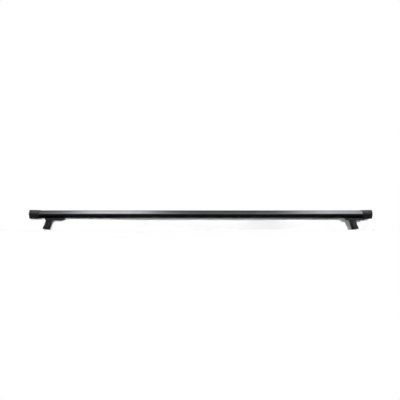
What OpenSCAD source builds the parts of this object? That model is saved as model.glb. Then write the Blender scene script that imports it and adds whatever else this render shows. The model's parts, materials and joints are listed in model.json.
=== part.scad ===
// Roof rack crossbar: an aero section extrusion with a T-track above and below,
// push-on end caps, a rubber strip in the upper track and two splayed tubular feet
// that slide in the lower track until their bolts are tightened.
// X runs along the bar, Z is up, and the origin lies midway between the feet,
// at the level of the lowest points of their pads.

/* [Bar] */
// Cut length of the extrusion
bar_l = 1236; // [900:1:1500]
// Width of the section over both noses
bar_w = 66; // [62:0.5:74]
// Height of the section over its two flats
bar_h = 26.5; // [25.5:0.5:29]
// Height that the two curved faces would reach if there were no flats
crown_h = 31; // [30.5:0.5:35]
// Radius of the front and rear noses
nose_r = 3.2; // [2.8:0.1:4.5]
// Wall and web thickness of the extrusion
wall = 2.2; // [1.8:0.1:2.6]

/* [Tracks] */
// Width of the mouth of each T-track
mouth_w = 10.5; // [9.5:0.1:12]
// Width of each T-track behind its lips
track_w = 21; // [19.5:0.1:22]
// Depth of each T-track behind its lips
track_d = 7; // [6.4:0.1:7.6]
// Thickness of the lips beside each mouth
lip_t = 2.5; // [2:0.1:3]

/* [Top strip] */
// Width of the strip's head, which lies on the upper flat
strip_head_w = 15; // [13.5:0.1:20]
// Height of the head above the flat
strip_head_h = 0.9; // [0.7:0.1:2]
// Width over the two barbs that hook under the lips
strip_barb_w = 17; // [14:0.1:18.5]
// Thickness of the barbs
strip_barb_t = 1.6; // [1:0.1:2.4]
// Radius of the two grooves along the head
strip_groove_r = 0.45; // [0.3:0.05:0.6]
// Distance of each groove from the middle of the head
strip_groove_y = 2.5; // [1.5:0.1:4]
// Clearance of the strip in the mouth and under the lips
strip_fit = 0.15; // [0.05:0.05:0.4]
// Gap between each end of the strip and its cap
strip_end_gap = 0.5; // [0.2:0.1:2]

/* [End caps] */
// Thickness of the cap's sleeve over the bar
cap_wall = 2.6; // [2.4:0.1:3.2]
// Length of bar that each cap covers
cap_cover = 33.5; // [24:0.5:34]
// Length of the thinner lip at the sleeve's inner end
cap_lip_l = 10.5; // [3:0.5:14]
// Thickness of that lip
cap_lip_t = 2.1; // [0.8:0.1:2.3]
// Thickness of the end wall at its rim
cap_end_t = 3.8; // [2.5:0.1:5]
// How far the end wall bulges out past its rim, seen from the front
cap_bulge = 3.2; // [2:0.1:5]
// Radius of the end wall's bulge, seen from above
cap_plan_r = 95; // [80:1:200]
// Length of the two tongues that grip inside the bar
tongue_l = 18; // [8:0.5:24]
// Clearance between a cap and the bar
cap_fit = 0.15; // [0.05:0.05:0.4]
// Length of the notch under the right-hand cap, where the plate reaches under it
notch_l = 19; // [8:0.5:24]
// Gap between the notch and each side of the plate
notch_gap = 1.5; // [1:0.1:3]

/* [Foot plate] */
// Distance from the end of the bar, cap included, to the leg's axis at the underside
foot_inset = 76; // [74:0.5:140]
// Reach of the plate from the leg's axis on the side of its bolts
plate_long = 52; // [49:0.5:54]
// Reach of the plate from the leg's axis on the other side
plate_short = 19.5; // [18:0.5:30]
// How far both plates then stand inwards, towards the middle of the bar
plate_inward = 1.8; // [0:0.1:3]
// Width of the plate across the bar
plate_w = 42; // [36:0.5:52]
// Thickness of the pressed steel
plate_t = 3; // [2:0.1:4]
// Depth of the plate with its turned-down flanges
flange_h = 8.3; // [6.6:0.1:9.5]
// Outer radius of the bends between plate and flanges
bend_r = 3.6; // [3:0.1:4.5]
// Inner radius of those bends
bend_inner_r = 0.6; // [0.3:0.1:1.5]
// How much shallower the flanges are at the short end
flange_rise = 1.3; // [0:0.1:2]
// Length over which the flanges taper at the long end
taper_long = 14; // [4:0.5:20]
// Length over which the flanges taper at the short end
taper_short = 5; // [3:0.5:10]
// Corner radius of the plate seen from above
corner_r = 7; // [3:0.5:12]
// Height of the weld collar round the leg
weld_h = 1.6; // [0.8:0.1:2.4]
// Thickness of the weld collar
weld_t = 1.8; // [1:0.1:2.6]

/* [Gasket] */
// Thickness of the rubber gasket between plate and bar
gasket_t = 0.8; // [0.5:0.1:2]
// How far the gasket's edge lies inside the plate's edge
gasket_edge = 2; // [0.5:0.1:4]

/* [Leg] */
// Outward lean of the leg from upright, in degrees
leg_angle = 19.5; // [12:0.5:23]
// Length of the leg's axis from the bar's underside to the tube's end
leg_l = 39.5; // [32:0.5:90]
// Outer diameter of the leg tube
leg_d = 24; // [20:0.5:26]
// Wall of the leg tube
leg_wall = 2.5; // [1.5:0.1:3.5]
// Length of the threaded insert in the tube's end
insert_l = 14; // [8:0.5:18]
// Core diameter of the insert's thread
thread_d = 6.8; // [5:0.1:10.2]
// Thickness of the rubber pad round the tube
pad_wall = 0.9; // [0.7:0.1:2.5]
// Thickness of the pad under the tube, at the leg's axis
pad_floor = 4; // [3.2:0.1:6]
// Slope of the pad's face from level, in degrees
pad_slope = 8; // [5:0.5:18]
// How far the pad reaches up the tube
pad_up = 3.6; // [2:0.1:8]
// Diameter of the hole through the pad's floor
pad_hole_d = 13; // [11:0.5:16]

/* [Bolts] */
// Distance of the near bolt from the leg's axis, along the bar
near_bolt_x = 24.5; // [23.5:0.1:25]
// Distance between the two bolts of a foot
bolt_step = 16; // [15.6:0.1:16.5]
// Diameter of the bolts
bolt_d = 6; // [5:0.1:6.5]
// Width across the flats of the bolt heads
head_af = 10; // [8.5:0.1:11]
// Height of the bolt heads
head_h = 4; // [3:0.1:5]
// Outer diameter of the washers
washer_d = 12; // [11:0.1:13]
// Thickness of the washers
washer_t = 1; // [0.6:0.1:1.6]
// Length of the track nuts along the bar
nut_l = 15; // [12:0.5:15]
// Thickness of the track nuts behind the lips
nut_t = 4.5; // [3:0.1:5]
// How far a bolt's tip passes its nut
tip_past = 0.8; // [0.2:0.1:1.2]
// Clearance at each side of a nut in its track and its neck in the mouth
nut_fit = 0.5; // [0.3:0.05:0.8]
// Radial clearance of the bolt holes in plate, gasket and washers
hole_fit = 0.3; // [0.1:0.05:0.6]
// Radial clearance between a bolt and its track nut's thread
thread_fit = 0.05; // [0.02:0.01:0.1]

/* [Hidden] */
$fn = 96;
hex = 6;
over = 1; // how far a cutting tool reaches past the face that it cuts

// Section of the bar
nose_lap = 0.06; // how far a nose stands past the curved faces, so that they cross cleanly
nose_y = bar_w / 2 - nose_r;
nose_to_crown = crown_h / 2 - nose_r + nose_lap;
arc_drop = (pow(nose_y, 2) - pow(nose_to_crown, 2)) / (2 * nose_to_crown);
arc_r = arc_drop + crown_h / 2;
web_y = track_w / 2 + wall;
track_top = bar_h / 2 - lip_t;
track_floor = track_top - track_d;

// Places along the bar
bar_end = bar_l / 2;
overall_end = bar_end + cap_end_t + cap_bulge;
cap_in = bar_end - cap_cover;
foot_x = overall_end - foot_inset;
strip_l = bar_l - 2 * cap_cover - 2 * strip_end_gap;

// Leg and pad, measured along the leg's axis from the bar's underside
pad_r = leg_d / 2 + pad_wall;
pad_end = leg_l + pad_floor;
pad_cut = leg_angle - pad_slope; // angle of the pad's face from square across the leg
bar_z = bar_h / 2 + pad_end * cos(leg_angle) + pad_r * sin(pad_slope) / cos(pad_cut);

// Levels under the bar, measured from its underside
plate_top = -gasket_t;
plate_under = plate_top - plate_t;
flange_under = plate_top - flange_h;
head_top = plate_under - washer_t;
bolt_tip = lip_t + nut_t + tip_past;

// Turns a section drawn as (across, up) into a length along X, centred on the bar's axis
module along_bar(length) {
    translate([-length / 2, 0, bar_z])
        rotate([90, 0, 90])
            linear_extrude(height = length)
                children();
}

// The aero outline, grown outwards by a given amount: two arcs, two flats and two noses
module outline(grow = 0) {
    crossing_y = (arc_r + grow) * nose_y / (arc_drop + nose_to_crown);
    intersection() {
        translate([0, -arc_drop]) circle(r = arc_r + grow);
        translate([0, arc_drop]) circle(r = arc_r + grow);
        square([2 * bar_w, bar_h + 2 * grow], center = true);
        union() {
            square([2 * crossing_y, 2 * bar_h], center = true);
            for (side = [-1, 1])
                translate([side * nose_y, 0]) circle(r = nose_r + grow);
        }
    }
}

// One T-track, open upwards
module track_cut() {
    translate([-track_w / 2, track_floor]) square([track_w, track_d]);
    translate([-mouth_w / 2, track_top - over]) square([mouth_w, lip_t + 2 * over]);
}

// The hollow between a track's web and the nose, smaller by a clearance where a tongue fills it
module nose_chamber(side, fit = 0) {
    intersection() {
        outline(-wall - fit);
        translate([side > 0 ? web_y + fit : -bar_w, -bar_h])
            square([bar_w - web_y - fit, 2 * bar_h]);
    }
}

module bar_section() {
    difference() {
        outline();
        track_cut();
        mirror([0, 1]) track_cut();
        square([track_w, 2 * (track_floor - wall)], center = true);
        nose_chamber(1);
        nose_chamber(-1);
    }
}

module bar_extrusion() {
    color([0.07, 0.07, 0.08])
        along_bar(bar_l) bar_section();
}

// Rubber strip: barbs under the lips, a neck in the mouth and a grooved head on the flat
module strip_section() {
    neck_w = mouth_w - 2 * strip_fit;
    barb_top = track_top - strip_fit;
    difference() {
        union() {
            translate([-strip_barb_w / 2, barb_top - strip_barb_t])
                square([strip_barb_w, strip_barb_t]);
            translate([-neck_w / 2, barb_top - over])
                square([neck_w, bar_h / 2 - barb_top + 2 * over]);
            translate([-strip_head_w / 2, bar_h / 2])
                square([strip_head_w, strip_head_h]);
        }
        translate([-neck_w, bar_h / 2 + strip_head_h]) square([2 * neck_w, 2 * over]);
        for (side = [-1, 1])
            translate([side * strip_groove_y, bar_h / 2 + strip_head_h])
                circle(r = strip_groove_r);
    }
}

module top_strip() {
    color([0.04, 0.04, 0.04])
        along_bar(strip_l) strip_section();
}

// A stretch of the grown outline, from one place along the bar to another
module sleeve(from, to, grow) {
    translate([from, 0, bar_z])
        rotate([90, 0, 90])
            linear_extrude(height = to - from)
                outline(grow);
}

// The end wall bulges both ways, like the outside of a ring, cut off at its axis
module cap_dome() {
    rim_z = bar_h / 2 + cap_wall;
    bulge_r = (pow(rim_z, 2) + pow(cap_bulge, 2)) / (2 * cap_bulge);
    translate([overall_end - cap_plan_r, 0, bar_z])
        rotate_extrude()
            difference() {
                translate([cap_plan_r - bulge_r, 0]) circle(r = bulge_r);
                translate([-2 * bulge_r, -bulge_r]) square(2 * bulge_r);
            }
}

// Right-hand cap: a stepped sleeve with a bulging end wall, and two tongues inside the bar
module end_cap() {
    difference() {
        intersection() {
            union() {
                sleeve(cap_in, cap_in + cap_lip_l + over, cap_lip_t);
                sleeve(cap_in + cap_lip_l, overall_end, cap_wall);
            }
            cap_dome();
        }
        sleeve(cap_in - over, bar_end, cap_fit);
    }
    for (side = [-1, 1])
        translate([bar_end - tongue_l, 0, bar_z])
            rotate([90, 0, 90])
                linear_extrude(height = tongue_l + over)
                    nose_chamber(side, cap_fit);
}

// The right-hand cap is notched underneath, where its foot's plate reaches under it
module notched_cap() {
    difference() {
        end_cap();
        translate([cap_in - over, -plate_w / 2 - notch_gap, bar_z - bar_h])
            cube([notch_l + over, plate_w + 2 * notch_gap, bar_h]);
    }
}

// Everything on a foot is drawn for the right-hand end, from the point where the
// leg's axis meets the bar's underside. Both plates reach further to the bar's right:
// way is 1 where that is out to the bar's end, and -1 on the foot that is mirrored
module at_foot() {
    translate([foot_x, 0, bar_z - bar_h / 2]) children();
}

// Turns Z into the leg's axis, pointing down and outwards
module on_leg_axis() {
    rotate([0, 180 - leg_angle, 0]) children();
}

// The near bolt is 0 and the far one is 1
module at_bolt(way, number) {
    translate([way * (near_bolt_x + number * bolt_step), 0, 0]) children();
}

// Outline of the plate from above, drawn in by a margin
module plate_plan(way, margin = 0) {
    radius = corner_r - margin / 2;
    half_w = plate_w / 2 - margin;
    length = plate_long + plate_short - 2 * margin;
    translate([way * (plate_long - plate_short) / 2 - plate_inward, 0]) {
        square([length - 2 * radius, 2 * half_w], center = true);
        square([length, 2 * half_w - 2 * radius], center = true);
        for (x = [-1, 1])
            for (y = [-1, 1])
                translate([x * (length / 2 - radius), y * (half_w - radius)])
                    circle(r = radius);
    }
}

// Cross section of the pressed channel, with round bends outside and in
module channel_section() {
    half_w = plate_w / 2;
    difference() {
        union() {
            translate([-half_w + bend_r, flange_under])
                square([plate_w - 2 * bend_r, flange_h]);
            translate([-half_w, flange_under])
                square([plate_w, flange_h - bend_r]);
            for (side = [-1, 1])
                translate([side * (half_w - bend_r), plate_top - bend_r]) circle(r = bend_r);
        }
        translate([-half_w + plate_t + bend_inner_r, flange_under - over])
            square([plate_w - 2 * plate_t - 2 * bend_inner_r, flange_h - plate_t + over]);
        translate([-half_w + plate_t, flange_under - over])
            square([plate_w - 2 * plate_t, flange_h - plate_t + over - bend_inner_r]);
        for (side = [-1, 1])
            translate([side * (half_w - plate_t - bend_inner_r), plate_under - bend_inner_r])
                circle(r = bend_inner_r);
    }
}

// Side view of the plate, whose flanges run out towards both ends
module channel_side(way) {
    translate([-plate_inward, 0])
        polygon([
            [-way * plate_short, plate_top + over],
            [way * plate_long, plate_top + over],
            [way * plate_long, plate_under],
            [way * (plate_long - taper_long), flange_under],
            [-way * (plate_short - taper_short), flange_under + flange_rise],
            [-way * plate_short, plate_under]
        ]);
}

module bolt_hole(way, number, depth, top) {
    at_bolt(way, number)
        translate([0, 0, top - depth - over])
            cylinder(r = bolt_d / 2 + hole_fit, h = depth + 2 * over);
}

module foot_plate(way) {
    at_foot()
        difference() {
            union() {
                intersection() {
                    translate([-2 * plate_long, 0, 0])
                        rotate([90, 0, 90])
                            linear_extrude(height = 4 * plate_long)
                                channel_section();
                    translate([0, plate_w, 0])
                        rotate([90, 0, 0])
                            linear_extrude(height = 2 * plate_w)
                                channel_side(way);
                    translate([0, 0, -2 * flange_h])
                        linear_extrude(height = 2 * flange_h)
                            plate_plan(way);
                }
                intersection() {
                    on_leg_axis() cylinder(r = leg_d / 2 + weld_t, h = leg_l);
                    translate([-leg_d, -leg_d, plate_under - weld_h])
                        cube([2 * leg_d, 2 * leg_d, weld_h + plate_t / 2]);
                }
            }
            on_leg_axis()
                translate([0, 0, -leg_d]) cylinder(r = leg_d / 2, h = leg_l + leg_d);
            bolt_hole(way, 0, plate_t, plate_top);
            bolt_hole(way, 1, plate_t, plate_top);
        }
}

module gasket(way) {
    at_foot()
        difference() {
            translate([0, 0, -gasket_t])
                linear_extrude(height = gasket_t)
                    plate_plan(way, gasket_edge);
            bolt_hole(way, 0, gasket_t, 0);
            bolt_hole(way, 1, gasket_t, 0);
        }
}

// The tube's upper end is cut level with the top of the plate that it is welded into
module leg_tube() {
    at_foot()
        difference() {
            on_leg_axis()
                difference() {
                    translate([0, 0, -leg_d]) cylinder(r = leg_d / 2, h = leg_l + leg_d);
                    translate([0, 0, -leg_d - over])
                        cylinder(r = leg_d / 2 - leg_wall, h = leg_l + leg_d + 2 * over);
                }
            translate([-2 * leg_d, -2 * leg_d, plate_top])
                cube([4 * leg_d, 4 * leg_d, 4 * leg_d]);
        }
}

module leg_insert() {
    at_foot()
        on_leg_axis()
            translate([0, 0, leg_l - insert_l])
                difference() {
                    cylinder(r = leg_d / 2 - leg_wall, h = insert_l);
                    translate([0, 0, -over])
                        cylinder(r = thread_d / 2, h = insert_l + 2 * over);
                }
}

// The pad's face is cut nearer to level than the tube's end, so its outer side is thicker
module leg_pad() {
    at_foot()
        on_leg_axis()
            difference() {
                translate([0, 0, leg_l - pad_up])
                    cylinder(r = pad_r, h = pad_up + 2 * pad_floor);
                translate([0, 0, leg_l - pad_up - over])
                    cylinder(r = leg_d / 2, h = pad_up + over);
                translate([0, 0, leg_l - over])
                    cylinder(r = pad_hole_d / 2, h = 2 * pad_floor + 2 * over);
                translate([0, 0, pad_end])
                    rotate([0, pad_cut, 0])
                        translate([-leg_d, -leg_d, 0]) cube([2 * leg_d, 2 * leg_d, 2 * leg_d]);
            }
}

// Hexagon head bolt from below, with its head chamfered and its tip past the track nut
module bolt(way, number) {
    corner_r = head_af / sqrt(3);
    at_foot()
        at_bolt(way, number) {
            translate([0, 0, head_top])
                cylinder(r = bolt_d / 2 - thread_fit, h = bolt_tip - head_top);
            translate([0, 0, head_top - head_h])
                intersection() {
                    cylinder(r = corner_r, h = head_h, $fn = hex);
                    cylinder(r1 = head_af / 2, r2 = head_af / 2 + head_h, h = head_h);
                }
        }
}

module washer(way, number) {
    at_foot()
        difference() {
            at_bolt(way, number)
                translate([0, 0, head_top]) cylinder(r = washer_d / 2, h = washer_t);
            bolt_hole(way, number, washer_t, plate_under);
        }
}

// Track nut: a block behind the lips with a neck that keeps it square in the mouth
module track_nut(way, number) {
    block_w = track_w - 2 * nut_fit;
    neck_w = mouth_w - 2 * nut_fit;
    neck_h = lip_t - nut_fit;
    at_foot()
        at_bolt(way, number)
            difference() {
                union() {
                    translate([-nut_l / 2, -block_w / 2, lip_t]) cube([nut_l, block_w, nut_t]);
                    translate([-nut_l / 2, -neck_w / 2, lip_t - neck_h])
                        cube([nut_l, neck_w, neck_h + over]);
                }
                translate([0, 0, -over])
                    cylinder(r = bolt_d / 2, h = lip_t + nut_t + 2 * over);
            }
}

module steel() {
    color([0.16, 0.16, 0.17]) children();
}

module painted() {
    color([0.05, 0.05, 0.055]) children();
}

module rubber() {
    color([0.035, 0.035, 0.035]) children();
}

// The left-hand pieces are the right-hand ones mirrored across the bar's middle
module left() {
    mirror([1, 0, 0]) children();
}

bar_extrusion();
top_strip();
left() rubber() end_cap();  // left_end_cap
rubber() notched_cap();  // right_end_cap
left() painted() foot_plate(-1);  // left_foot_plate
painted() foot_plate(1);  // right_foot_plate
left() rubber() gasket(-1);  // left_gasket
rubber() gasket(1);  // right_gasket
left() painted() leg_tube();  // left_leg_tube
painted() leg_tube();  // right_leg_tube
left() steel() leg_insert();  // left_leg_insert
steel() leg_insert();  // right_leg_insert
left() rubber() leg_pad();  // left_leg_pad
rubber() leg_pad();  // right_leg_pad
left() steel() bolt(-1, 0);  // left_near_bolt
steel() bolt(1, 0);  // right_near_bolt
left() steel() bolt(-1, 1);  // left_far_bolt
steel() bolt(1, 1);  // right_far_bolt
left() steel() washer(-1, 0);  // left_near_washer
steel() washer(1, 0);  // right_near_washer
left() steel() washer(-1, 1);  // left_far_washer
steel() washer(1, 1);  // right_far_washer
left() steel() track_nut(-1, 0);  // left_near_track_nut
steel() track_nut(1, 0);  // right_near_track_nut
left() steel() track_nut(-1, 1);  // left_far_track_nut
steel() track_nut(1, 1);  // right_far_track_nut
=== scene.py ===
import bpy
import bmesh
import json
import math
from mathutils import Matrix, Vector


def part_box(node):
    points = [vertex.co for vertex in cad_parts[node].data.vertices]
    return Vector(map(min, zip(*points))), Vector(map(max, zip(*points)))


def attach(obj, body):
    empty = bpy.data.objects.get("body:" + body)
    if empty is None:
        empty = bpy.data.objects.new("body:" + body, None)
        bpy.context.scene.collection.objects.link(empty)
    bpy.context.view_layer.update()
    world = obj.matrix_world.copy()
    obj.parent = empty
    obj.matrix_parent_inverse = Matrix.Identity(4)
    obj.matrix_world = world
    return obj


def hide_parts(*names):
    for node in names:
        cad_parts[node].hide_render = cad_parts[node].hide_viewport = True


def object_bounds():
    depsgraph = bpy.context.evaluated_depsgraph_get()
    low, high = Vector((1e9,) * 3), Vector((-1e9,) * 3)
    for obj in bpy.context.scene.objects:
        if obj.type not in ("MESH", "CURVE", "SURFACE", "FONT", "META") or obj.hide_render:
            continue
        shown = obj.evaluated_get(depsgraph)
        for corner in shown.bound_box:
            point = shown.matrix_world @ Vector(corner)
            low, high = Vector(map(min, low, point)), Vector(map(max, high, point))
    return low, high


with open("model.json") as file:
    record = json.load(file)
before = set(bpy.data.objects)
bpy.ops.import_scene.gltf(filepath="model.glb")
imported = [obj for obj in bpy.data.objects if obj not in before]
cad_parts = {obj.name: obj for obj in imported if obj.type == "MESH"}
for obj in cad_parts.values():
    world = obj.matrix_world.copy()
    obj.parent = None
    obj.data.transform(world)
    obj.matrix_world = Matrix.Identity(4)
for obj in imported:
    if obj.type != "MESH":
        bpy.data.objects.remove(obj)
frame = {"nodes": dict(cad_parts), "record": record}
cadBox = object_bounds()
cadNodes = frame["nodes"]
print("frame loaded:", len(cadNodes), "nodes")

scene = bpy.context.scene
scene.view_settings.view_transform = "Standard"

mm = 0.001
photoSize = 400  # pixels along each side

barLow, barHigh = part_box("bar_extrusion")
barMid = (barLow + barHigh) / 2
barMidUp = barMid.z / mm  # the height of the bar's middle in millimetres
mounts = {mount["name"]: mount for mount in frame["record"]["mounts"]}

numberKind, vectorKind = "NodeSocketFloat", "NodeSocketVector"
noiseRange = (0.3, 0.7)  # most values of a noise texture lie between these


def newNodes(holder):
    holder.use_nodes = True
    holder.node_tree.nodes.clear()
    return holder.node_tree.nodes, holder.node_tree.links


def addNode(nodes, kind, **settings):
    node = nodes.new(kind)
    for name, value in settings.items():
        setattr(node, name, value)
    return node


def feed(links, source, socket):
    # the source is a socket of another node, or a plain value
    if isinstance(source, bpy.types.NodeSocket):
        links.new(source, socket)
    else:
        socket.default_value = source


def startGroup(name, inputs, outputs):
    group = bpy.data.node_groups.new(name, "ShaderNodeTree")
    for label, kind, value in inputs:
        socket = group.interface.new_socket(label, in_out="INPUT", socket_type=kind)
        if value is not None:
            socket.default_value = value
    for label, kind in outputs:
        group.interface.new_socket(label, in_out="OUTPUT", socket_type=kind)
    nodes = group.nodes
    return group, nodes, group.links, nodes.new("NodeGroupInput"), nodes.new("NodeGroupOutput")


def combine(nodes, links, operation, first, second):
    node = addNode(nodes, "ShaderNodeMath", operation=operation)
    links.new(first, node.inputs[0])
    links.new(second, node.inputs[1])
    return node.outputs[0]


def mixColours(nodes, links, factor, first, second):
    mix = addNode(nodes, "ShaderNodeMix", data_type="RGBA")
    for number, source in ((0, factor), (6, first), (7, second)):  # 6 and 7 are the node's colour sockets
        feed(links, source, mix.inputs[number])
    return mix.outputs[2]


def mapRange(nodes, links, value, fromRange, toRange=(0, 1)):
    node = addNode(nodes, "ShaderNodeMapRange")
    links.new(value, node.inputs["Value"])
    for label, number in zip(("From Min", "From Max", "To Min", "To Max"), (*fromRange, *toRange)):
        node.inputs[label].default_value = number
    return node.outputs["Result"]


def addNoise(nodes, links, vector, scale, detail, roughness=0.5):
    noise = addNode(nodes, "ShaderNodeTexNoise")
    links.new(vector, noise.inputs["Vector"])
    feed(links, scale, noise.inputs["Scale"])
    noise.inputs["Detail"].default_value = detail
    noise.inputs["Roughness"].default_value = roughness
    return noise.outputs["Fac"]


drawLines = {
    "lineDetail": 3,
    "cloudScale": 14,
    "cloudDetail": 5,
}


def makeDrawLines():
    # long fine lines that an extrusion die leaves along X
    group, nodes, links, given, result = startGroup(
        "drawLines",
        [("Vector", vectorKind, None), ("Line Scale", numberKind, 900.0), ("Stretch", numberKind, 0.004)],
        [("Lines", numberKind), ("Cloud", numberKind)])
    squeeze = addNode(nodes, "ShaderNodeCombineXYZ")
    links.new(given.outputs["Stretch"], squeeze.inputs[0])
    squeeze.inputs[1].default_value = 1
    squeeze.inputs[2].default_value = 1
    along = addNode(nodes, "ShaderNodeVectorMath", operation="MULTIPLY")
    links.new(given.outputs["Vector"], along.inputs[0])
    links.new(squeeze.outputs[0], along.inputs[1])
    lines = addNoise(nodes, links, along.outputs[0], given.outputs["Line Scale"], drawLines["lineDetail"])
    cloud = addNoise(nodes, links, given.outputs["Vector"], drawLines["cloudScale"], drawLines["cloudDetail"])
    links.new(lines, result.inputs["Lines"])
    links.new(cloud, result.inputs["Cloud"])
    return group


mouldGrain = {
    "fineShare": 0.6,  # how much the fine noise adds to the pebbles
    "fineDetail": 4,
    "patchDetail": 4,
    "speckScale": 700,
    "speckDetail": 1,
    "speckRange": (0.66, 0.74),
}


def makeMouldGrain():
    # fine pebbled grain of moulded plastic, rubber and powder coat
    group, nodes, links, given, result = startGroup(
        "mouldGrain",
        [("Vector", vectorKind, None), ("Grain Scale", numberKind, 2200.0), ("Patch Scale", numberKind, 30.0)],
        [("Height", numberKind), ("Patches", numberKind), ("Specks", numberKind)])
    vector, grainScale = given.outputs["Vector"], given.outputs["Grain Scale"]
    pebble = addNode(nodes, "ShaderNodeTexVoronoi", feature="SMOOTH_F1")
    links.new(vector, pebble.inputs["Vector"])
    links.new(grainScale, pebble.inputs["Scale"])
    height = addNode(nodes, "ShaderNodeMath", operation="MULTIPLY_ADD")
    links.new(addNoise(nodes, links, vector, grainScale, mouldGrain["fineDetail"]), height.inputs[0])
    height.inputs[1].default_value = mouldGrain["fineShare"]
    links.new(pebble.outputs["Distance"], height.inputs[2])
    patches = addNoise(nodes, links, vector, given.outputs["Patch Scale"], mouldGrain["patchDetail"])
    specks = addNoise(nodes, links, vector, mouldGrain["speckScale"], mouldGrain["speckDetail"])
    links.new(height.outputs[0], result.inputs["Height"])
    links.new(patches, result.inputs["Patches"])
    links.new(mapRange(nodes, links, specks, mouldGrain["speckRange"]), result.inputs["Specks"])
    return group


edgeWear = {
    "bevelSamples": 4,
    "edgeRange": (0.995, 0.9),  # cosine between the true and the rounded normal, at no wear and at full wear
    "spotDetail": 5,
    "spotRange": (0.45, 0.62),
}


def makeEdgeWear():
    # a rounded normal near edges, and a mask that shows where edges are rubbed
    group, nodes, links, given, result = startGroup(
        "edgeWear",
        [("Vector", vectorKind, None), ("Radius", numberKind, 0.4 * mm), ("Normal", vectorKind, None),
         ("Patchiness", numberKind, 60.0)],
        [("Normal", vectorKind), ("Worn", numberKind)])
    bevel = addNode(nodes, "ShaderNodeBevel", samples=edgeWear["bevelSamples"])
    links.new(given.outputs["Radius"], bevel.inputs["Radius"])
    links.new(given.outputs["Normal"], bevel.inputs["Normal"])
    plain = addNode(nodes, "ShaderNodeBevel", samples=edgeWear["bevelSamples"])
    links.new(given.outputs["Radius"], plain.inputs["Radius"])
    geometry = addNode(nodes, "ShaderNodeNewGeometry")
    facing = addNode(nodes, "ShaderNodeVectorMath", operation="DOT_PRODUCT")
    links.new(plain.outputs[0], facing.inputs[0])
    links.new(geometry.outputs["Normal"], facing.inputs[1])
    near = mapRange(nodes, links, facing.outputs["Value"], edgeWear["edgeRange"])
    spots = addNoise(nodes, links, given.outputs["Vector"], given.outputs["Patchiness"], edgeWear["spotDetail"])
    rubbed = mapRange(nodes, links, spots, edgeWear["spotRange"])
    links.new(bevel.outputs[0], result.inputs["Normal"])
    links.new(combine(nodes, links, "MULTIPLY", near, rubbed), result.inputs["Worn"])
    return group


settledDust = {
    "upRange": (0.2, 1),  # how far up a face looks, from no dust to full dust
    "cloudScale": 22,
    "cloudDetail": 8,
    "cloudRoughness": 0.65,
    "cloudRange": (0.35, 0.75),
}


def makeDust():
    # pale dust that settles on upward faces
    group, nodes, links, given, result = startGroup(
        "settledDust",
        [("Vector", vectorKind, None), ("Amount", numberKind, 0.1)],
        [("Dust", numberKind)])
    geometry = addNode(nodes, "ShaderNodeNewGeometry")
    split = addNode(nodes, "ShaderNodeSeparateXYZ")
    links.new(geometry.outputs["Normal"], split.inputs[0])
    upward = mapRange(nodes, links, split.outputs[2], settledDust["upRange"])
    cloud = addNoise(nodes, links, given.outputs["Vector"], settledDust["cloudScale"],
                     settledDust["cloudDetail"], settledDust["cloudRoughness"])
    spread = mapRange(nodes, links, cloud, settledDust["cloudRange"])
    both = combine(nodes, links, "MULTIPLY", upward, spread)
    links.new(combine(nodes, links, "MULTIPLY", both, given.outputs["Amount"]), result.inputs["Dust"])
    return group


groups = {"lines": makeDrawLines(), "grain": makeMouldGrain(), "wear": makeEdgeWear(), "dust": makeDust()}
print("node groups made:", len(groups))


def placeGroup(nodes, links, name, vector, values):
    node = addNode(nodes, "ShaderNodeGroup", node_tree=groups[name])
    links.new(vector, node.inputs["Vector"])
    for label, value in values.items():
        node.inputs[label].default_value = value
    return node


def makeFinish(name, finish, makeSkin):
    # the skin gives the fresh colour, a value that the roughness follows and the height of the bumps
    material = bpy.data.materials.new(name)
    nodes, links = newNodes(material)
    shader = addNode(nodes, "ShaderNodeBsdfPrincipled")
    shader.inputs["Metallic"].default_value = finish.get("metallic", 0)
    shader.inputs["Specular IOR Level"].default_value = finish.get("specular", 0.5)
    shader.inputs["Specular Tint"].default_value = (*[finish.get("edgeTint", 1)] * 3, 1)
    output = addNode(nodes, "ShaderNodeOutputMaterial")
    links.new(shader.outputs[0], output.inputs[0])
    where = addNode(nodes, "ShaderNodeTexCoord")
    vector = where.outputs["Object"]
    fresh, sheen, height = makeSkin(nodes, links, vector, finish)
    wear = placeGroup(nodes, links, "wear", vector,
                      {"Radius": finish["edgeRadius"], "Patchiness": finish["wearScale"]})
    dust = placeGroup(nodes, links, "dust", vector, {"Amount": finish["dust"]})
    rubbed = mixColours(nodes, links, wear.outputs["Worn"], fresh, finish["worn"])
    dusted = mixColours(nodes, links, dust.outputs["Dust"], rubbed, finish["dusty"])
    links.new(dusted, shader.inputs["Base Color"])
    links.new(mapRange(nodes, links, sheen, noiseRange, finish["roughness"]), shader.inputs["Roughness"])
    bump = addNode(nodes, "ShaderNodeBump")
    bump.inputs["Strength"].default_value = finish["bump"]
    bump.inputs["Distance"].default_value = finish["bumpDepth"]
    links.new(height, bump.inputs["Height"])
    links.new(bump.outputs[0], wear.inputs["Normal"])
    links.new(wear.outputs["Normal"], shader.inputs["Normal"])
    return material


def anodisedSkin(nodes, links, vector, finish):
    lines = placeGroup(nodes, links, "lines", vector, {})
    fresh = mixColours(nodes, links, lines.outputs["Cloud"], finish["dark"], finish["light"])
    return fresh, lines.outputs["Lines"], lines.outputs["Lines"]


def mouldedSkin(nodes, links, vector, finish):
    grain = placeGroup(nodes, links, "grain", vector,
                       {"Grain Scale": finish["grainScale"], "Patch Scale": finish["patchScale"]})
    patched = mixColours(nodes, links, grain.outputs["Patches"], finish["dark"], finish["light"])
    fresh = mixColours(nodes, links, grain.outputs["Specks"], patched, finish["speck"])
    return fresh, grain.outputs["Patches"], grain.outputs["Height"]


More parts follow.
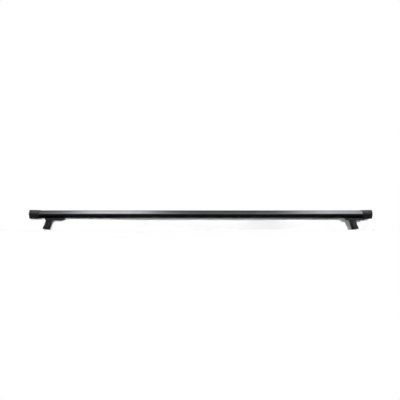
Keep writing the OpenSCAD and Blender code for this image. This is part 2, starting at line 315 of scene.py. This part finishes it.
anodised = {
    "metallic": 1, "edgeTint": 0.45, "roughness": (0.27, 0.36),
    "dark": (0.0235, 0.0237, 0.0262, 1), "light": (0.0325, 0.0327, 0.036, 1),
    "worn": (0.10, 0.10, 0.102, 1), "dusty": (0.13, 0.127, 0.122, 1), "dust": 0.03,
    "wearScale": 45, "edgeRadius": 0.35 * mm, "bump": 0.06, "bumpDepth": 0.02 * mm,
}
capPlastic = {
    "specular": 0.05, "roughness": (0.58, 0.68),
    "dark": (0.010, 0.010, 0.0115, 1), "light": (0.015, 0.015, 0.0165, 1), "speck": (0.020, 0.020, 0.022, 1),
    "worn": (0.026, 0.026, 0.027, 1), "dusty": (0.08, 0.078, 0.076, 1), "dust": 0.03,
    "grainScale": 1500, "patchScale": 24, "wearScale": 48,
    "edgeRadius": 0.6 * mm, "bump": 0.35, "bumpDepth": 0.05 * mm,
}
stripRubber = {
    "specular": 0.3, "roughness": (0.62, 0.78),
    "dark": (0.008, 0.008, 0.008, 1), "light": (0.012, 0.012, 0.012, 1), "speck": (0.018, 0.018, 0.018, 1),
    "worn": (0.022, 0.022, 0.022, 1), "dusty": (0.09, 0.087, 0.083, 1), "dust": 0.08,
    "grainScale": 1100, "patchScale": 30, "wearScale": 60,
    "edgeRadius": 0.3 * mm, "bump": 0.25, "bumpDepth": 0.05 * mm,
}
gasketRubber = {**stripRubber, "dust": 0.02}
padRubber = {
    "specular": 0.3, "roughness": (0.58, 0.74),
    "dark": (0.006, 0.006, 0.006, 1), "light": (0.010, 0.010, 0.010, 1), "speck": (0.018, 0.018, 0.018, 1),
    "worn": (0.02, 0.02, 0.02, 1), "dusty": (0.09, 0.087, 0.083, 1), "dust": 0.03,
    "grainScale": 1300, "patchScale": 70, "wearScale": 140,
    "edgeRadius": 0.5 * mm, "bump": 0.35, "bumpDepth": 0.06 * mm,
}
footPaint = {
    "specular": 0.35, "roughness": (0.34, 0.46),
    "dark": (0.006, 0.006, 0.0075, 1), "light": (0.010, 0.010, 0.0115, 1), "speck": (0.017, 0.017, 0.019, 1),
    "worn": (0.035, 0.035, 0.036, 1), "dusty": (0.09, 0.088, 0.085, 1), "dust": 0.03,
    "grainScale": 620, "patchScale": 48, "wearScale": 96,
    "edgeRadius": 0.4 * mm, "bump": 0.3, "bumpDepth": 0.08 * mm,
}
darkSteel = {
    "metallic": 1, "edgeTint": 0.7, "roughness": (0.34, 0.48),
    "dark": (0.085, 0.085, 0.09, 1), "light": (0.13, 0.13, 0.135, 1), "speck": (0.17, 0.165, 0.155, 1),
    "worn": (0.32, 0.31, 0.3, 1), "dusty": (0.14, 0.135, 0.13, 1), "dust": 0.02,
    "grainScale": 1800, "patchScale": 160, "wearScale": 320,
    "edgeRadius": 0.25 * mm, "bump": 0.2, "bumpDepth": 0.03 * mm,
}

finishes = {
    "bar_black": makeFinish("black_anodised_aluminium", anodised, anodisedSkin),
    "strip_rubber": makeFinish("strip_rubber", stripRubber, mouldedSkin),
    "cap_plastic": makeFinish("moulded_cap_plastic", capPlastic, mouldedSkin),
    "foot_paint": makeFinish("black_powder_coat", footPaint, mouldedSkin),
    "gasket_rubber": makeFinish("gasket_rubber", gasketRubber, mouldedSkin),
    "pad_rubber": makeFinish("pad_rubber", padRubber, mouldedSkin),
    "dark_steel": makeFinish("black_zinc_steel", darkSteel, mouldedSkin),
}
slotOf = {part["node"]: part["material_slot"] for part in frame["record"]["subparts"]}
for name, piece in cadNodes.items():
    piece.data.materials.clear()
    piece.data.materials.append(finishes[slotOf[name]])
print("finishes on nodes:", len(finishes))

# all sizes of the pieces below are in millimetres and degrees, in the part's own frame
barShape = {
    "length": 1236,
    "height": 26.5,
    "width": 66,
    "crownHeight": 31,  # how high the curved faces would reach without the flats
    "noseRadius": 3.2,
    "noseLap": 0.06,  # overlap of a nose and the curved faces
    "nosePoints": 9,
    "curvePoints": 22,
    "flatPoints": 5,
}
noseY = barShape["width"] / 2 - barShape["noseRadius"]
noseToCrown = barShape["crownHeight"] / 2 - barShape["noseRadius"] + barShape["noseLap"]
curveDrop = (noseY ** 2 - noseToCrown ** 2) / (2 * noseToCrown)
curveRadius = curveDrop + barShape["crownHeight"] / 2


def barOutline(grow):
    # the aero outline as (across, up) points, grown outwards: a nose, a curved face and a flat, four times
    nose, curve = barShape["noseRadius"] + grow, curveRadius + grow
    gap = math.hypot(noseY, curveDrop)
    turn = math.atan2(curveDrop, noseY) + math.acos((curve ** 2 + gap ** 2 - nose ** 2) / (2 * curve * gap))
    meetY, meetZ = curve * math.cos(turn), curve * math.sin(turn) - curveDrop
    noseTurn = math.atan2(meetZ, meetY - noseY)
    flatZ = barShape["height"] / 2 + grow
    flatTurn = math.asin((flatZ + curveDrop) / curve)
    flatY = curve * math.cos(flatTurn)
    rearTop = []
    for step in range(barShape["nosePoints"]):
        angle = noseTurn * step / barShape["nosePoints"]
        rearTop.append((noseY + nose * math.cos(angle), nose * math.sin(angle)))
    for step in range(barShape["curvePoints"]):
        angle = turn + (flatTurn - turn) * step / barShape["curvePoints"]
        rearTop.append((curve * math.cos(angle), curve * math.sin(angle) - curveDrop))
    for step in range(barShape["flatPoints"]):
        rearTop.append((flatY * (1 - step / barShape["flatPoints"]), flatZ))
    frontTop = [(-y, z) for y, z in reversed(rearTop)]
    frontLow = [(-y, -z) for y, z in rearTop[1:]]
    rearLow = [(y, -z) for y, z in reversed(rearTop[1:])]
    return rearTop + [(0, flatZ)] + frontTop + frontLow + [(0, -flatZ)] + rearLow


def quarterTurn(count):
    # even steps from 0 to 90 degrees, in radians
    return [math.pi / 2 * step / count for step in range(count + 1)]


def skinRings(rings, closed=False):
    # joins rings of points, one after another, into a skin of four-sided faces
    count = len(rings[0])
    pairs = [(number, number + 1) for number in range(len(rings) - 1)]
    if closed:
        pairs.append((len(rings) - 1, 0))
    faces = []
    for first, second in pairs:
        low, high = first * count, second * count
        for here in range(count):
            after = (here + 1) % count
            faces.append((low + here, low + after, high + after, high + here))
    return [point for ring in rings for point in ring], faces


def makePiece(name, points, faces, slotName, body, sharpAngle, replaced=None):
    mesh = bpy.data.meshes.new(name)
    mesh.from_pydata([[value * mm for value in point] for point in points], [], faces)
    shaping = bmesh.new()
    shaping.from_mesh(mesh)
    bmesh.ops.recalc_face_normals(shaping, faces=shaping.faces)
    shaping.to_mesh(mesh)
    shaping.free()
    mesh.shade_smooth()
    mesh.set_sharp_from_angle(angle=math.radians(sharpAngle))
    piece = bpy.data.objects.new(name, mesh)
    scene.collection.objects.link(piece)
    mesh.materials.append(finishes[slotName])
    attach(piece, body)
    if replaced:
        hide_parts(replaced)
    return piece


capShape = {
    "cover": 33.5,  # how far the sleeve reaches over the bar
    "wall": 2.6,
    "fit": 0.15,  # gap between the sleeve and the bar
    "mouthEdge": 0.2,
    "lipLength": 10.5,
    "lipWall": 2.1,
    "lipRound": 0.6,
    "stepRound": 0.35,
    "rimThickness": 3.8,
    "rimRound": 0.8,
    "bulge": 3.2,
    "planRadius": 95,
    "domeRings": (0.86, 0.7, 0.52, 0.34, 0.16),  # shares of the way from the middle of the end wall to its rim
    "roundPoints": 6,
    "sharpAngle": 30,
    "notchLength": 19,
    "notchHalfWidth": 22.5,
    "notchLead": 5,  # the cutter starts this far before the sleeve's mouth
    "notchDrop": 40,  # and reaches this far down from the bar's middle
}
sleeveX = barShape["length"] / 2 - capShape["cover"]


def domeX(y, z):
    # how far out the bulging end wall lies, at a place across and up
    rim = barShape["height"] / 2 + capShape["wall"]
    bulge = (rim ** 2 + capShape["bulge"] ** 2) / (2 * capShape["bulge"])
    reach = barShape["length"] / 2 + capShape["rimThickness"] + capShape["bulge"]
    ring = capShape["planRadius"] - bulge + math.sqrt(bulge ** 2 - z ** 2)
    return reach - capShape["planRadius"] + math.sqrt(ring ** 2 - y ** 2)


def capRings():
    # from the hollow's bottom out over the lip and the step, and on towards the middle of the end wall
    stepX = sleeveX + capShape["lipLength"]
    wall, fit, mouth = capShape["wall"], capShape["fit"], capShape["mouthEdge"]
    lip, lipRound = capShape["lipWall"], capShape["lipRound"]
    stepRound, rimRound = capShape["stepRound"], capShape["rimRound"]
    turns = quarterTurn(capShape["roundPoints"])
    stations = [(barShape["length"] / 2, fit), (sleeveX + mouth, fit), (sleeveX, fit + mouth)]
    for angle in reversed(turns):
        stations.append((sleeveX + lipRound * (1 - math.sin(angle)), lip - lipRound * (1 - math.cos(angle))))
    stations.append((stepX - stepRound / 2, lip))
    for angle in turns[1:]:
        stations.append((stepX + stepRound * (1 - math.cos(angle)), lip + (wall - lip) * math.sin(angle)))
    rings = [[(x, y, z) for y, z in barOutline(grow)] for x, grow in stations]
    for angle in turns:
        outline = barOutline(wall - rimRound * (1 - math.cos(angle)))
        rings.append([(domeX(y, z) - rimRound * (1 - math.sin(angle)), y, z) for y, z in outline])
    for share in capShape["domeRings"]:
        outline = [(y * share, z * share) for y, z in barOutline(wall - rimRound)]
        rings.append([(domeX(y, z), y, z) for y, z in outline])
    return rings


def buildCap(side, way, notched):
    rings = [[(way * x, y, z + barMidUp) for x, y, z in ring] for ring in capRings()]
    points, faces = skinRings(rings)
    count = len(rings[0])
    faces.append(tuple(range(count)))
    faces.append(tuple(range(len(points) - count, len(points))))
    cap = makePiece(f"{side}_end_cap_shell", points, faces, "cap_plastic", "bar", capShape["sharpAngle"],
                    f"{side}_end_cap")
    if notched:
        cutNotch(cap)


def cutNotch(cap):
    # the plate of the foot reaches under this cap, through a notch in its underside
    half = capShape["notchHalfWidth"]
    startX, endX = sleeveX - capShape["notchLead"], sleeveX + capShape["notchLength"]
    lowZ = barMidUp - capShape["notchDrop"]
    corners = [(x * mm, y * mm, z * mm) for x in (startX, endX) for y in (-half, half) for z in (lowZ, barMidUp)]
    faces = [(0, 1, 3, 2), (4, 6, 7, 5), (0, 4, 5, 1), (2, 3, 7, 6), (0, 2, 6, 4), (1, 5, 7, 3)]
    mesh = bpy.data.meshes.new("notch_cutter")
    mesh.from_pydata(corners, [], faces)
    cutter = bpy.data.objects.new("notch_cutter", mesh)
    scene.collection.objects.link(cutter)
    cut = cap.modifiers.new("notch", "BOOLEAN")
    cut.operation = "DIFFERENCE"
    cut.solver = "EXACT"
    cut.object = cutter
    bpy.context.view_layer.update()
    shaped = bpy.data.meshes.new_from_object(cap.evaluated_get(bpy.context.evaluated_depsgraph_get()))
    cap.modifiers.clear()
    cap.data = shaped
    shaped.set_sharp_from_angle(angle=math.radians(capShape["sharpAngle"]))
    bpy.data.objects.remove(cutter)


buildCap("left", -1, False)
buildCap("right", 1, True)
print("end caps built")

tubeRadius = 12


def legFrame(side):
    # the place of the tube's end, the way down the leg and the way outwards from it
    mount = mounts[side + "_foot_thread"]
    down = Vector(mount["axis"]).normalized()
    outwards = Vector((-down.z * math.copysign(1, down.x), 0, abs(down.x)))
    return Vector(mount["pos_m"]) / mm, down, outwards


def placeOnLeg(leg, radius, angle, along):
    # along is measured down the leg from the tube's end
    end, down, outwards = leg
    return end + outwards * (radius * math.cos(angle)) + Vector((0, radius * math.sin(angle), 0)) + down * along


def ringOnLeg(leg, radius, along, count, slope=0):
    # a ring of points round the leg, square to it or sloping towards its outer side
    ring = []
    for number in range(count):
        angle = 2 * math.pi * number / count
        ring.append(placeOnLeg(leg, radius, angle, along + radius * math.cos(angle) * slope))
    return ring


padShape = {
    "wall": 0.9,
    "up": 3.6,  # how far the boot reaches up the tube
    "floor": 4,
    "hole": 6.5,
    "faceSlope": 11.5,  # of the boot's face against the leg's square end
    "edgeRound": 1.1,
    "lipRound": 0.35,
    "innerEdge": 0.1,
    "around": 96,
    "roundPoints": 6,
    "sharpAngle": 50,
}


def buildPad(side):
    # a rubber boot round the tube's end, with rounded edges and a face that is nearly level
    leg, around = legFrame(side), padShape["around"]
    outer, up, floor, hole = tubeRadius + padShape["wall"], padShape["up"], padShape["floor"], padShape["hole"]
    edge, lip, inner = padShape["edgeRound"], padShape["lipRound"], padShape["innerEdge"]
    slope = math.tan(math.radians(padShape["faceSlope"]))
    turns = quarterTurn(padShape["roundPoints"])
    square = [(tubeRadius, 0), (tubeRadius, -up + inner), (tubeRadius + inner, -up)]
    square += [(outer - lip + lip * math.sin(angle), -up + lip - lip * math.cos(angle)) for angle in turns]
    sloping = [(outer - edge + edge * math.cos(angle), floor - edge + edge * math.sin(angle)) for angle in turns]
    sloping += [(hole + lip - lip * math.sin(angle), floor - lip + lip * math.cos(angle)) for angle in turns]
    rings = [ringOnLeg(leg, radius, along, around) for radius, along in square]
    rings += [ringOnLeg(leg, radius, along, around, slope) for radius, along in sloping]
    rings.append(ringOnLeg(leg, hole, 0, around))
    makePiece(f"{side}_leg_pad_boot", *skinRings(rings, closed=True), "pad_rubber", f"{side}_foot",
              padShape["sharpAngle"], f"{side}_leg_pad")


threadShape = {
    "length": 14,
    "outerRadius": 9.5,
    "outerEdge": 0.4,
    "core": 3.4,
    "depth": 0.62,
    "pitch": 1.25,
    "flank": 0.42,  # half the groove's width, as a share of the pitch
    "runOut": 12,  # the groove reaches its full depth within one part in this many of the length
    "mouthDepth": 0.08,  # share of the depth that is left at the mouth
    "mouthEdge": 0.8,  # chamfer round the hole's mouth
    "stepsPerTurn": 32,
    "ringsPerPitch": 6,
    "sharpAngle": 40,
}


def buildThread(side):
    # the threaded insert, with a real helical groove cut outwards from its core
    leg, around = legFrame(side), threadShape["stepsPerTurn"]
    length, pitch, core = threadShape["length"], threadShape["pitch"], threadShape["core"]
    levels = int(length / pitch * threadShape["ringsPerPitch"])
    rings = []
    for level in range(levels + 1):
        along = -length + length * level / levels
        rising = threadShape["runOut"] * level / levels
        falling = threadShape["runOut"] * (1 - level / levels) + threadShape["mouthDepth"]
        depth = threadShape["depth"] * min(1, rising, falling)
        ring = []
        for number in range(around):
            wave = (along / pitch - number / around) % 1  # the groove's bottom lies at one half
            groove = depth * max(0, 1 - abs(wave - 0.5) / threadShape["flank"])
            ring.append(placeOnLeg(leg, core + groove, 2 * math.pi * number / around, along))
        rings.append(ring)
    outer, edge = threadShape["outerRadius"], threadShape["outerEdge"]
    outside = ((core + threadShape["mouthEdge"], 0), (outer - edge, 0), (outer, -edge), (outer, -length))
    rings += [ringOnLeg(leg, radius, along, around) for radius, along in outside]
    makePiece(f"{side}_leg_insert_thread", *skinRings(rings, closed=True), "dark_steel", f"{side}_foot",
              threadShape["sharpAngle"], f"{side}_leg_insert")


weldBead = {
    "belowBar": 3.8,
    "width": 2.7,
    "drop": 2.5,  # how far the bead reaches down the tube
    "sink": 0.5,  # how far the bead's root lies inside the tube and the plate
    "toe": 0.3,  # how far its lower edge lies inside the tube
    "ripples": 40,
    "rippleDepth": 0.09,
    "rippleLevel": 0.6,  # share of a ripple's height at which the bead has its named width
    "around": 240,
    "arcPoints": 7,
    "sharpAngle": 60,
}


def buildWeld(side):
    # the bead that runs round the tube under the plate, laid in small overlapping ripples
    leg, around = legFrame(side), weldBead["around"]
    down, outwards = leg[1:]
    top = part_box("bar_extrusion")[0].z / mm - weldBead["belowBar"]
    rings = []
    for number in range(around):
        angle = 2 * math.pi * number / around
        phase = (number * weldBead["ripples"] / around) % 1
        swell = 1 + weldBead["rippleDepth"] * (math.sqrt(1 - phase ** 2) - weldBead["rippleLevel"])
        onTube = placeOnLeg(leg, tubeRadius, angle, 0)
        foot = onTube + down * ((top - onTube.z) / down.z)
        away = Vector((math.cos(angle) * math.copysign(1, outwards.x), math.sin(angle), 0))
        ring = [foot + Vector((0, 0, weldBead["sink"])) - away * weldBead["sink"]]
        for turn in quarterTurn(weldBead["arcPoints"]):
            wide = weldBead["width"] * swell * math.cos(turn) - weldBead["toe"] * math.sin(turn)
            deep = weldBead["drop"] * swell * math.sin(turn)
            ring.append(foot + away * wide + down * deep)
        rings.append(ring)
    makePiece(f"{side}_weld_bead", *skinRings(rings, closed=True), "foot_paint", f"{side}_foot",
              weldBead["sharpAngle"])


for side in ("left", "right"):
    buildPad(side)
    buildThread(side)
    buildWeld(side)
print("pads, threads and weld beads built")

# places on the stage are in metres
stagePlaces = {
    "wallY": 36 * mm,
    "wallFootY": 27 * mm,  # the wall leans, so a leg's shadow is nearer to the leg at its foot
    "wallHalfWidth": 0.72,
    "wallTop": barMid.z,  # the wall ends behind the bar, and carries the shadows under it
    "floorHalf": 5.0,
    "floorFront": -1.2,
}
wallPaper = {
    "white": 0.9,
    "glow": 0,  # the paper's own light at its middle, against 1 at its ends
    "fade": (0.64, 0.72),  # how far from its middle the paper starts to glow, and where it is white
    "squash": 1,  # share of a distance along the bar that counts for the fade
}
floorPaper = {"white": 0.9, "glow": 0.02, "fade": (0.25, 1.5), "squash": 0.4}


def makePaper(name, paper):
    # matt paper that glows white far from its middle, and that the camera sees through from behind
    material = bpy.data.materials.new(name)
    nodes, links = newNodes(material)
    where = addNode(nodes, "ShaderNodeTexCoord")
    squashed = addNode(nodes, "ShaderNodeVectorMath", operation="MULTIPLY")
    squashed.inputs[1].default_value = (paper["squash"], 1, 1)
    links.new(where.outputs["Object"], squashed.inputs[0])
    reach = addNode(nodes, "ShaderNodeVectorMath", operation="LENGTH")
    links.new(squashed.outputs[0], reach.inputs[0])
    level = mapRange(nodes, links, reach.outputs["Value"], paper["fade"], (paper["glow"], 1))
    path = addNode(nodes, "ShaderNodeLightPath")
    mirrored = combine(nodes, links, "MAXIMUM", path.outputs["Is Glossy Ray"], path.outputs["Is Transmission Ray"])
    seen = combine(nodes, links, "MAXIMUM", path.outputs["Is Camera Ray"], mirrored)
    light = addNode(nodes, "ShaderNodeEmission")
    links.new(combine(nodes, links, "MULTIPLY", seen, level), light.inputs["Strength"])
    matt = addNode(nodes, "ShaderNodeBsdfDiffuse")
    matt.inputs["Color"].default_value = (*[paper["white"]] * 3, 1)
    front = addNode(nodes, "ShaderNodeAddShader")
    links.new(matt.outputs[0], front.inputs[0])
    links.new(light.outputs[0], front.inputs[1])
    clear = addNode(nodes, "ShaderNodeBsdfTransparent")
    geometry = addNode(nodes, "ShaderNodeNewGeometry")
    choose = addNode(nodes, "ShaderNodeMixShader")
    links.new(combine(nodes, links, "MULTIPLY", geometry.outputs["Backfacing"], path.outputs["Is Camera Ray"]),
              choose.inputs[0])
    links.new(front.outputs[0], choose.inputs[1])
    links.new(clear.outputs[0], choose.inputs[2])
    output = addNode(nodes, "ShaderNodeOutputMaterial")
    links.new(choose.outputs[0], output.inputs[0])
    return material


def addPlane(name, corners, material):
    mesh = bpy.data.meshes.new(name)
    mesh.from_pydata(corners, [], [(0, 1, 2, 3)])
    plane = bpy.data.objects.new(name, mesh)
    scene.collection.objects.link(plane)
    mesh.materials.append(material)


def buildStage():
    wide, top = stagePlaces["wallHalfWidth"], stagePlaces["wallTop"]
    foot, back = stagePlaces["wallFootY"], stagePlaces["wallY"]
    half, front = stagePlaces["floorHalf"], stagePlaces["floorFront"]
    addPlane("paper_wall", [(-wide, foot, 0), (wide, foot, 0), (wide, back, top), (-wide, back, top)],
             makePaper("wall_paper", wallPaper))
    addPlane("paper_floor", [(-half, front, 0), (half, front, 0), (half, half, 0), (-half, half, 0)],
             makePaper("floor_paper", floorPaper))


buildStage()

# A lamp for gloss is only mirrored in the part: the overhead ones make the bright stretches of its upper face.
# A lamp for matt lights what is matt, apart from the floor, and shapes the shadows on the paper wall.
lamps = {
    "leftOverhead": {"only": "gloss", "place": (-0.42, 0.4, 0.95), "aim": (-0.42, 0.05, 0.06),
                     "size": (0.36, 1.4), "power": 34},
    "rightOverhead": {"only": "gloss", "place": (0.63, 0.4, 0.95), "aim": (0.63, 0.05, 0.06),
                      "size": (0.34, 1.4), "power": 25},
    "softOverhead": {"only": "gloss", "place": (0, 0.3, 0.98), "aim": (0, 0.05, 0.06),
                     "size": (2.0, 1.2), "power": 11},
    "frontOverhead": {"only": "gloss", "place": (0, -0.7, 0.75), "aim": (0, 0, 0.06),
                      "size": (2.2, 0.5), "power": 12},
    "ceiling": {"only": None, "place": (0, -0.12, 0.95), "aim": (0, -0.11, 0.06),
                "size": (1.8, 0.3), "power": 4.5},
    "middleSheen": {"only": "gloss", "place": (0.42, -1.3, 0.25), "aim": (-0.5, 0, 0.05),
                    "size": (0.22, 0.5), "power": 5},
    "rightSheen": {"only": "gloss", "place": (1.7, -1.3, 0.25), "aim": (0.56, 0, 0.05),
                   "size": (0.22, 0.5), "power": 6},
    "leftPaper": {"only": "matt", "place": (-0.42, -2.6, 0.2), "aim": (-0.66, 0.036, 0.04),
                  "halfAngle": 9.5, "radius": 0.05, "power": 240},
    "middlePaper": {"only": "matt", "place": (0, -2.6, 0.39), "aim": (-0.03, 0.036, 0.04),
                    "halfAngle": 12.2, "radius": 0.09, "power": 238},
    "rightPaper": {"only": "matt", "place": (0.96, -1.5, 0.235), "aim": (0.60, 0.036, 0.04),
                   "halfAngle": 12.5, "radius": 0.03, "power": 92},
    "frontPaper": {"only": "matt", "place": (0, -3.0, 0.056), "aim": (-0.15, 0.036, 0.03),
                   "halfAngle": 14, "radius": 0.03, "power": 46},
    "legPaper": {"only": "matt", "place": (0, -3.0, 0.056), "aim": (0.543, 0.036, 0.015),
                 "halfAngle": 1.2, "radius": 0.03, "power": 55},
}


def buildLamps():
    floorLeftOut = bpy.data.collections.new("floor_left_to_the_ceiling_lamp")
    floorLeftOut.objects.link(bpy.data.objects["paper_floor"])
    for item in floorLeftOut.collection_objects:
        item.light_linking.link_state = "EXCLUDE"
    for name, lamp in lamps.items():
        if "size" in lamp:
            light = bpy.data.lights.new(name, "AREA")
            light.shape = "RECTANGLE"
            light.size, light.size_y = lamp["size"]
        else:
            light = bpy.data.lights.new(name, "SPOT")
            light.spot_size = 2 * math.radians(lamp["halfAngle"])
            light.spot_blend = 1
            light.shadow_soft_size = lamp["radius"]
        light.energy = lamp["power"]
        holder = bpy.data.objects.new(name, light)
        scene.collection.objects.link(holder)
        holder.location = lamp["place"]
        way = Vector(lamp["aim"]) - Vector(lamp["place"])
        holder.rotation_euler = way.to_track_quat("-Z", "Y").to_euler()
        holder.visible_camera = False
        holder.visible_glossy = lamp["only"] != "matt"
        holder.visible_diffuse = lamp["only"] != "gloss"
        if lamp["only"] == "matt":
            holder.light_linking.receiver_collection = floorLeftOut


buildLamps()

room = {
    "backdropWhite": 1.0,
    "roomDim": 0.12,
    "softEdge": 0.35,  # half the width of the change from the dim room in front to the backdrop behind
}


def buildWorld():
    # white backdrop behind, a dim room on the camera's side, and dim soft light for everything else
    world = bpy.data.worlds.new("studio_room")
    scene.world = world
    nodes, links = newNodes(world)
    where = addNode(nodes, "ShaderNodeTexCoord")
    split = addNode(nodes, "ShaderNodeSeparateXYZ")
    links.new(where.outputs["Generated"], split.inputs[0])
    behind = mapRange(nodes, links, split.outputs[1], (-room["softEdge"], room["softEdge"]))
    path = addNode(nodes, "ShaderNodeLightPath")
    mirrored = combine(nodes, links, "MAXIMUM", path.outputs["Is Glossy Ray"], path.outputs["Is Transmission Ray"])
    backdrop = combine(nodes, links, "MULTIPLY", mirrored, behind)
    seen = combine(nodes, links, "MAXIMUM", path.outputs["Is Camera Ray"], backdrop)
    light = addNode(nodes, "ShaderNodeBackground")
    light.inputs["Color"].default_value = (1, 1, 1, 1)
    links.new(mapRange(nodes, links, seen, (0, 1), (room["roomDim"], room["backdropWhite"])),
              light.inputs["Strength"])
    output = addNode(nodes, "ShaderNodeOutputWorld")
    links.new(light.outputs[0], output.inputs[0])


buildWorld()

cameraView = {
    "distance": 3.0,
    "height": 0.5 * mm,  # almost level with the floor, which is then seen edge on
    "sensor": 36.0,
    "barLengthPx": 342.7,
    "barMidPx": (200.7, 214.35),
}


def buildCamera():
    distance, height = cameraView["distance"], cameraView["height"]
    metresPerPx = (cadBox[1][0] - cadBox[0][0]) / cameraView["barLengthPx"]
    data = bpy.data.cameras.new("photo_camera")
    data.sensor_width = cameraView["sensor"]
    data.lens = cameraView["sensor"] * distance / (metresPerPx * photoSize)
    camera = bpy.data.objects.new("photo_camera", data)
    scene.collection.objects.link(camera)
    acrossPx, downPx = cameraView["barMidPx"]
    middle = photoSize / 2
    upward = (barMid.z - height) + (downPx - middle) * metresPerPx
    camera.location = ((middle - acrossPx) * metresPerPx, -distance, height)
    camera.rotation_euler = (math.radians(90) + math.atan2(upward, distance), 0, 0)
    scene.camera = camera


buildCamera()
print("stage, lamps and camera ready")
